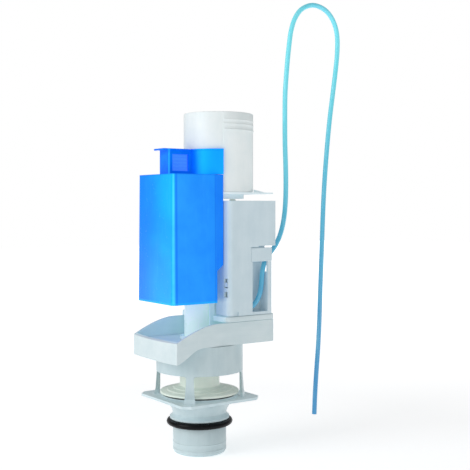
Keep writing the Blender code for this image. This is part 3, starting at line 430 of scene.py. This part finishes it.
# %% Material helpers
class Flow:
    """One output of a shader node, usable in sums."""

    def __init__(self, tree, socket):
        self.tree = tree
        self.socket = socket

    def math(self, operation, *values):
        return self.tree.node("ShaderNodeMath", {"operation": operation}, (self, *values))

    def __add__(self, other):
        return self.math("ADD", other)

    def __radd__(self, other):
        return self.math("ADD", other)

    def __sub__(self, other):
        return self.math("SUBTRACT", other)

    def __rsub__(self, other):
        return self.tree.node("ShaderNodeMath", {"operation": "SUBTRACT"}, (other, self))

    def __mul__(self, other):
        return self.math("MULTIPLY", other)

    def __rmul__(self, other):
        return self.math("MULTIPLY", other)

    def __truediv__(self, other):
        return self.math("DIVIDE", other)

    def size(self):
        return self.math("ABSOLUTE")

    def near(self, place, full, none):
        """1 within full of the place, 0 beyond none."""
        return 1 - (self - place).size().ramp(full, none)

    def ramp(self, start, end):
        """0 at start, 1 at end, smooth between."""
        settings = {"interpolation_type": "SMOOTHSTEP"}
        inputs = {"Value": self, "From Min": start, "From Max": end}
        return self.tree.node("ShaderNodeMapRange", settings, inputs)


class Finish:
    """A material in the making: a new one by its name, or one taken up again."""

    def __init__(self, material):
        if isinstance(material, str):
            material = bpy.data.materials.new(material)
            material.use_nodes = True
        self.material = material
        self.nodes = self.material.node_tree.nodes
        self.links = self.material.node_tree.links
        self.shader = self.nodes["Principled BSDF"]
        self.object = self.node("ShaderNodeTexCoord", {}, {}, "Object")

    def node(self, kind, settings, inputs, output=0):
        """A node of this kind, its settings first and then its sockets' values or links."""
        made = self.nodes.new(kind)
        for key, value in settings.items():
            setattr(made, key, value)
        pairs = inputs.items() if isinstance(inputs, dict) else enumerate(inputs)
        for key, value in pairs:
            self.feed(made.inputs[key], value)
        return Flow(self, made.outputs[output])

    def feed(self, socket, value):
        if isinstance(value, Flow):
            self.links.new(value.socket, socket)
        else:
            socket.default_value = value

    def axes(self):
        """The place on the part along X, Y and Z."""
        split = self.node("ShaderNodeSeparateXYZ", {}, (self.object,))
        outputs = split.socket.node.outputs
        return [Flow(self, outputs[name]) for name in "XYZ"]

    def noise(self, scale, detail=3.0, roughness=0.5, stretch=(1, 1, 1)):
        """Cloudy values about a half; a stretch under 1 draws them out along that axis."""
        place = self.node("ShaderNodeMapping", {}, {"Vector": self.object, "Scale": stretch})
        inputs = {"Vector": place, "Scale": scale, "Detail": detail, "Roughness": roughness}
        return self.node("ShaderNodeTexNoise", {}, inputs)

    def mix(self, factor, first, second):
        """The first colour where the factor is 0, the second where it is 1."""
        colours = {0: factor, 6: first, 7: second}      # the Mix node's colour sockets
        return self.node("ShaderNodeMix", {"data_type": "RGBA"}, colours, 2)

    def set(self, **values):
        """Feed the shader's sockets, named in lower case with underscores."""
        for name, value in values.items():
            socket = name.replace("_", " ").title().replace("Ior", "IOR")
            self.feed(self.shader.inputs[socket], value)

    def bump(self, height, strength, distance):
        inputs = {"Height": height, "Strength": strength, "Distance": distance}
        normal = self.node("ShaderNodeBump", {}, inputs)
        self.feed(self.shader.inputs["Normal"], normal)


def colour(red, green, blue):
    """A screen colour, 0 to 255, as the linear light that a shader works in."""
    return (*(((c / 255 + 0.055) / 1.055) ** 2.4 if c > 10 else c / 3295 for c in
              (red, green, blue)), 1.0)


def scaled(tone, factor, lift=0.0):
    """A colour times a factor, a little lifted, at full alpha."""
    return (*(c * factor + lift for c in tone[:3]), 1.0)


print("middle grey as light:", round(colour(128, 128, 128)[0], 3))

# %% [markdown]
# ## White polypropylene
# Moulded polypropylene is never one flat white. It lets a little light in, so its shadows stay
# cool and soft, which a faint glow of its own colour imitates. The pigment makes slow clouds, the
# melt leaves streaks along the way it flowed, the tool leaves a satin grain, and handling leaves
# edges and ribs a little more polished than the flats. Noise at each of these sizes feeds the
# colour, the roughness or the bump, and two tones of one white are enough for the colour.

# %% White, cream and grey plastics
PLASTIC_GLOSS = 0.42
GRAIN_DEPTH = 0.12 * MM


def moulded_plastic(name, light, dark, roughness=0.36, glow=0.05, flow_axis="Z"):
    made = Finish(name)
    stretch = {"Z": (1, 1, 0.2), "X": (0.2, 1, 1)}[flow_axis]
    cloud = made.noise(38, 4, 0.55)
    streak = made.noise(150, 3, 0.6, stretch)
    broad = made.noise(11, 2)
    mask = (cloud * 0.45 + streak * 0.25 + broad * 0.3).ramp(0.36, 0.62)
    base = made.mix(mask, dark, light)
    specks = made.noise(900, 2, 0.7).ramp(0.71, 0.76)
    base = made.mix(specks * 0.35, base, scaled(dark, 0.55))
    polish = made.noise(60, 2)
    scuffs = made.noise(420, 2, 0.6, stretch).ramp(0.58, 0.72)
    fine = made.noise(2600, 2, 0.6)
    sink = made.noise(90, 3)
    made.set(base_color=base, roughness=polish * 0.14 + scuffs * 0.12 + (roughness - 0.1),
             emission_color=light, emission_strength=glow, specular_ior_level=PLASTIC_GLOSS)
    made.bump(fine * 0.35 + sink + scuffs * 0.3, 0.25, GRAIN_DEPTH)
    return made.material


HEAD_WHITE = moulded_plastic("head_polypropylene", colour(235, 241, 241), colour(224, 234, 235),
                             glow=0.04)
HOUSING_WHITE = moulded_plastic("housing_polypropylene", colour(212, 228, 235),
                                colour(200, 219, 227), 0.38, 0.03)
TRAY_WHITE = moulded_plastic("tray_polypropylene", colour(212, 225, 228), colour(200, 216, 220),
                             flow_axis="X")
# The cage and spigot white is the greyest: painted shade for these low parts, which get less light.
CAGE_SHADED_WHITE = moulded_plastic("cage_polypropylene", colour(200, 217, 221), colour(184, 204, 209))
# The lifting plate and the overflow tube glow more strongly: painted light that brightens them
# beyond what the lamps give.
PLATE_WHITE = moulded_plastic("plate_polypropylene", colour(224, 236, 240), colour(210, 226, 231),
                              0.38, 0.24)
TUBE_WHITE = moulded_plastic("tube_polypropylene", colour(228, 246, 238), colour(216, 240, 232),
                             0.30, 0.16)
DISC_CREAM = moulded_plastic("disc_polypropylene", colour(240, 248, 238), colour(226, 238, 228),
                             0.40, 0.08)
CREAM = moulded_plastic("cream_polypropylene", colour(238, 241, 230), colour(226, 231, 218), 0.40)
GREY = moulded_plastic("grey_polypropylene", colour(120, 124, 128), colour(100, 104, 110), 0.45,
                       0.0)
print("plastics:", HEAD_WHITE.name, HOUSING_WHITE.name, TRAY_WHITE.name, CAGE_SHADED_WHITE.name)

# %% [markdown]
# ## Light inside thin walls
# Light comes through the tray's thin side and gathers in its hollow, and the wide flange plate of
# the cage is lit from below by the pale floor. A lamp in each place would light the neighbours as
# well, so a mask on the finish itself lets just that hollow, or just that level slice, glow.

# %% Glow by place
TRAY_WALL = 1.8 * MM
TRAY_HOLLOW_ABOVE = 14 * MM            # over the tray's lowest edge
PLATE_SLICE = (-1.0 * MM, 6.5 * MM)


def glow_in_hollow(finish, node, outside, inside):
    """Let the hollow of a tray glow in another colour than its outside."""
    made = Finish(finish)
    x, y, z = made.axes()
    low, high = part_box(node)
    within = (y.size() - (high.y - TRAY_WALL)).ramp(0.4 * MM, -0.4 * MM)
    behind = (x - (low.x + TRAY_WALL)).ramp(0.0, 0.6 * MM)
    above = (z - (low.z + TRAY_HOLLOW_ABOVE)).ramp(0.0, 4 * MM)
    made.set(emission_color=made.mix(within * behind * above, outside, inside),
             emission_strength=0.20)


def glow_in_slice(finish, low, high, glow):
    """Let a level slice of a part glow."""
    made = Finish(finish)
    z = made.axes()[2]
    inside = (z - low).ramp(0.0, 0.5 * MM) * (high - z).ramp(0.0, 1.0 * MM)
    made.set(emission_color=made.mix(inside, colour(0, 0, 0), glow), emission_strength=0.16)


glow_in_hollow(TRAY_WHITE, "water_tray", colour(120, 130, 132), colour(176, 226, 232))
glow_in_slice(CAGE_SHADED_WHITE, *PLATE_SLICE, colour(205, 220, 226))
print("flange plate glows from", PLATE_SLICE[0], "to", PLATE_SLICE[1])

# %% [markdown]
# ## Blue float plastic
# The float is translucent. Light gathers in the rounded corners and leaves as a bright cyan line,
# while the broad faces stay a deep blue. Masks from the distance to the float's own front corner
# and to its rims draw those lines, and part of the colour is a glow, because it is light that has
# travelled inside the wall. The gloss is tinted too, so white lights don't turn the blue milky.

# %% Blue plastic
BLUE_GLOSS = colour(30, 170, 235)
FLANGE_AT_X = -2.2 * MM                # behind this the float is only its two flanges
SEAM_X = -3.0 * MM


def float_plastic(name):
    made = Finish(name)
    x, y, z = made.axes()
    low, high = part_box("float_bell")
    side = y.size() / high.y
    # Painted light: the front face brightens towards the lit corner, and the side face is lighter
    # near the front.
    across = ((y * -1.0) / high.y).ramp(-0.9, 1.0)
    front = made.mix(across, colour(0, 122, 240), colour(0, 168, 246))
    back = (x - low.x).ramp(4 * MM, 50 * MM)
    flank = made.mix(back, colour(46, 158, 255), colour(38, 146, 252))
    base = made.mix(side.ramp(0.955, 0.975), front, flank)
    # Painted highlights: the cyan line at the corner and the cyan line along the foot; the dark
    # blue line beside the corner belongs to the same painted corner light. The darker blue behind
    # FLANGE_AT_X is painted shade on the flanges.
    lines = (
        (x.near(low.x + 4.2 * MM, 0.6 * MM, 1.6 * MM) * side.ramp(0.93, 0.96) * 0.55,
         colour(20, 110, 246)),                                           # beside the corner
        (x.near(low.x + 1.4 * MM, 0.3 * MM, 1.8 * MM) * side.ramp(0.90, 0.95) * 0.85,
         colour(76, 214, 255)),                                           # the lit corner
        ((x - FLANGE_AT_X).ramp(-0.4 * MM, 0.4 * MM) * 0.35, colour(20, 100, 234)),
        (x.near(SEAM_X, 0.2 * MM, 0.8 * MM) * 0.5, colour(16, 96, 214)),
        (z.near(low.z, 0.6 * MM, 2.6 * MM) * 0.5, colour(40, 196, 255)),   # the foot
        (z.near(high.z, 0.3 * MM, 1.2 * MM) * 0.4, colour(10, 100, 220)),  # the top edge
        (made.noise(26, 4, 0.55).ramp(0.35, 0.7) * 0.3, colour(0, 100, 240)),
        (made.noise(180, 3, 0.6, (1, 1, 0.15)).ramp(0.5, 0.75) * 0.10, colour(70, 180, 255)),
    )
    for mask, tone in lines:
        base = made.mix(mask, base, tone)
    scuffs = made.noise(300, 3, 0.6).ramp(0.6, 0.75)
    made.set(base_color=base, emission_color=base, emission_strength=0.24,
             specular_ior_level=0.30, specular_tint=BLUE_GLOSS,
             roughness=made.noise(50, 2) * 0.1 + scuffs * 0.12 + 0.16)
    made.bump(made.noise(70, 2) + scuffs * 0.2, 0.15, 0.2 * MM)
    return made.material


BLUE = float_plastic("blue_translucent_plastic")
print("float finish:", BLUE.name)

# %% [markdown]
# ## Blue collar plastic
# The collar is thinner than the float, so it is brighter where it faces the light. Its box has the
# same lit corners as the float, its ring is brightest where it turns to the side, and the ribbed
# slider in its window is a little more violet. One helper with other tones makes both.

# %% Collar and slider plastic
RISER_HALF = 8.5 * MM                  # the collar's box: half its width, and its front
RISER_FRONT_X = -38.0 * MM
RING_FROM_X = -16.0 * MM
RING_LIT_AT = 0.62                     # share of the collar's half width


def collar_plastic(name, deep, bright, glow):
    made = Finish(name)
    x, y, z = made.axes()
    low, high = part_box("float_collar")
    side = y.size()
    round_front = ((y * -1.0) / high.y).ramp(0.2, 0.95)
    base = made.mix(round_front, deep, bright)
    on_ring = (side / high.y).near(RING_LIT_AT, 0.0, 0.30)
    corner = side.near(RISER_HALF, 0.0, 1.6 * MM) * x.near(RISER_FRONT_X, 0.2 * MM, 1.8 * MM)
    layers = (
        (on_ring * (x - RING_FROM_X).ramp(-3 * MM, 2 * MM), colour(24, 176, 250)),
        (corner * 0.9, colour(60, 196, 255)),
        ((z - low.z).ramp(0.0, high.z - low.z) * 0.15, colour(0, 100, 240)),
        (made.noise(60, 4, 0.55).ramp(0.35, 0.7) * 0.25, bright),
    )
    for mask, tone in layers:
        base = made.mix(mask, base, tone)
    made.set(base_color=base, emission_color=base, emission_strength=glow,
             specular_ior_level=0.40, specular_tint=BLUE_GLOSS,
             roughness=made.noise(80, 2) * 0.1 + 0.16)
    made.bump(made.noise(110, 2), 0.15, 0.2 * MM)
    return made.material


COLLAR_BLUE = collar_plastic("collar_blue_plastic", colour(4, 104, 232), colour(20, 156, 254),
                             0.30)
SLIDER_BLUE = collar_plastic("slider_blue_plastic", colour(70, 140, 240), colour(90, 160, 250),
                             0.42)
print("collar and slider finishes:", COLLAR_BLUE.name, SLIDER_BLUE.name)

# %% [markdown]
# ## Rubber and hose
# The O-ring and the bellows are black rubber with a dull, slightly dusty skin. The hose is an
# extruded tube that light comes through: it looks like pale aqua glass in the top of its loop,
# deepens to a denser blue lower down, and has fine pale streaks along it, which are its draw lines
# and painted glints as well. Glass would need the light to be traced through its wall; a tint by
# height and a little glow paint that light in at this size.

# %% Rubber and hose finishes
HOSE_HEIGHTS = (-30 * MM, 340 * MM)    # dense blue and pale aqua
DROOP_X = 117 * MM                     # the hanging end


def rubber(name, tone, roughness):
    made = Finish(name)
    dust = made.noise(300, 3).ramp(0.5, 0.8)
    wiped = made.noise(40, 3).ramp(0.4, 0.65)
    made.set(base_color=made.mix(dust * wiped * 0.6, tone, scaled(tone, 1.6, 0.002)),
             roughness=dust * 0.2 + wiped * 0.08 + roughness, specular_ior_level=0.14)
    made.bump(made.noise(1500, 2) + dust * 0.4, 0.3, 0.1 * MM)
    return made.material


def hose_plastic(name):
    made = Finish(name)
    x, y, z = made.axes()
    tint = made.mix(z.ramp(*HOSE_HEIGHTS), colour(40, 124, 186), colour(110, 214, 226))
    tint = made.mix(x.near(DROOP_X, 0.0, 30 * MM) * 0.25, tint, colour(66, 150, 205))
    cloud = made.noise(40, 3, 0.5, (1, 1, 0.2))
    tint = made.mix(cloud.ramp(0.35, 0.7) * 0.3, tint, colour(140, 222, 238))
    # Pale streaks along the hose: its draw lines, and painted glints as well.
    draw_and_glint = made.noise(700, 2, 0.5, (1, 1, 0.02)).ramp(0.45, 0.7)
    tint = made.mix(draw_and_glint * 0.15, tint, colour(190, 240, 248))
    made.set(base_color=tint, emission_color=tint, emission_strength=0.18,
             roughness=made.noise(120, 2) * 0.1 + 0.18)
    made.bump(made.noise(500, 2) + draw_and_glint * 0.3, 0.15, 0.1 * MM)
    return made.material


BLACK = rubber("black_rubber", colour(6, 7, 10), 0.26)
GREY_RUBBER = rubber("grey_seal_rubber", colour(96, 98, 102), 0.5)
HOSE = hose_plastic("blue_hose")
print("rubber and hose:", BLACK.name, GREY_RUBBER.name, HOSE.name)

# %% [markdown]
# ## Handing out the finishes
# Each part takes the finish of its slot in the record, except where mouldings of the same slot
# differ a little: the head is the whitest, the housing is cooler, and the cage and the spigot,
# low down, are the greyest, which is painted shade for the parts that get less light. The hidden
# engineering part gets the same finish as the moulding that stands for it, so both agree.

# %% Give every part its finish
FINISHES = {
    "white_plastic": HOUSING_WHITE, "cream_plastic": CREAM, "grey_plastic": GREY,
    "blue_plastic": BLUE, "black_rubber": BLACK, "grey_rubber": GREY_RUBBER, "blue_hose": HOSE,
}
OWN_FINISH = {
    "overflow_head": HEAD_WHITE, "lifting_plate": PLATE_WHITE, "overflow_tube": TUBE_WHITE,
    "tube_guide": TRAY_WHITE, "water_tray": TRAY_WHITE, "deck_plate": TRAY_WHITE,
    "valve_cage": CAGE_SHADED_WHITE, "outlet_spigot": CAGE_SHADED_WHITE, "valve_disc": DISC_CREAM,
    "float_collar": COLLAR_BLUE, "volume_slider": SLIDER_BLUE,
}


def paint(piece, finish):
    piece.data.materials.clear()
    piece.data.materials.append(finish)


mouldings["air_hose"] = hose
for node, slot in SLOT_OF.items():
    finish = OWN_FINISH.get(node, FINISHES[slot])
    for piece in (frame["nodes"][node], mouldings[node]):
        paint(piece, finish)
print("painted:", len(SLOT_OF), "parts")
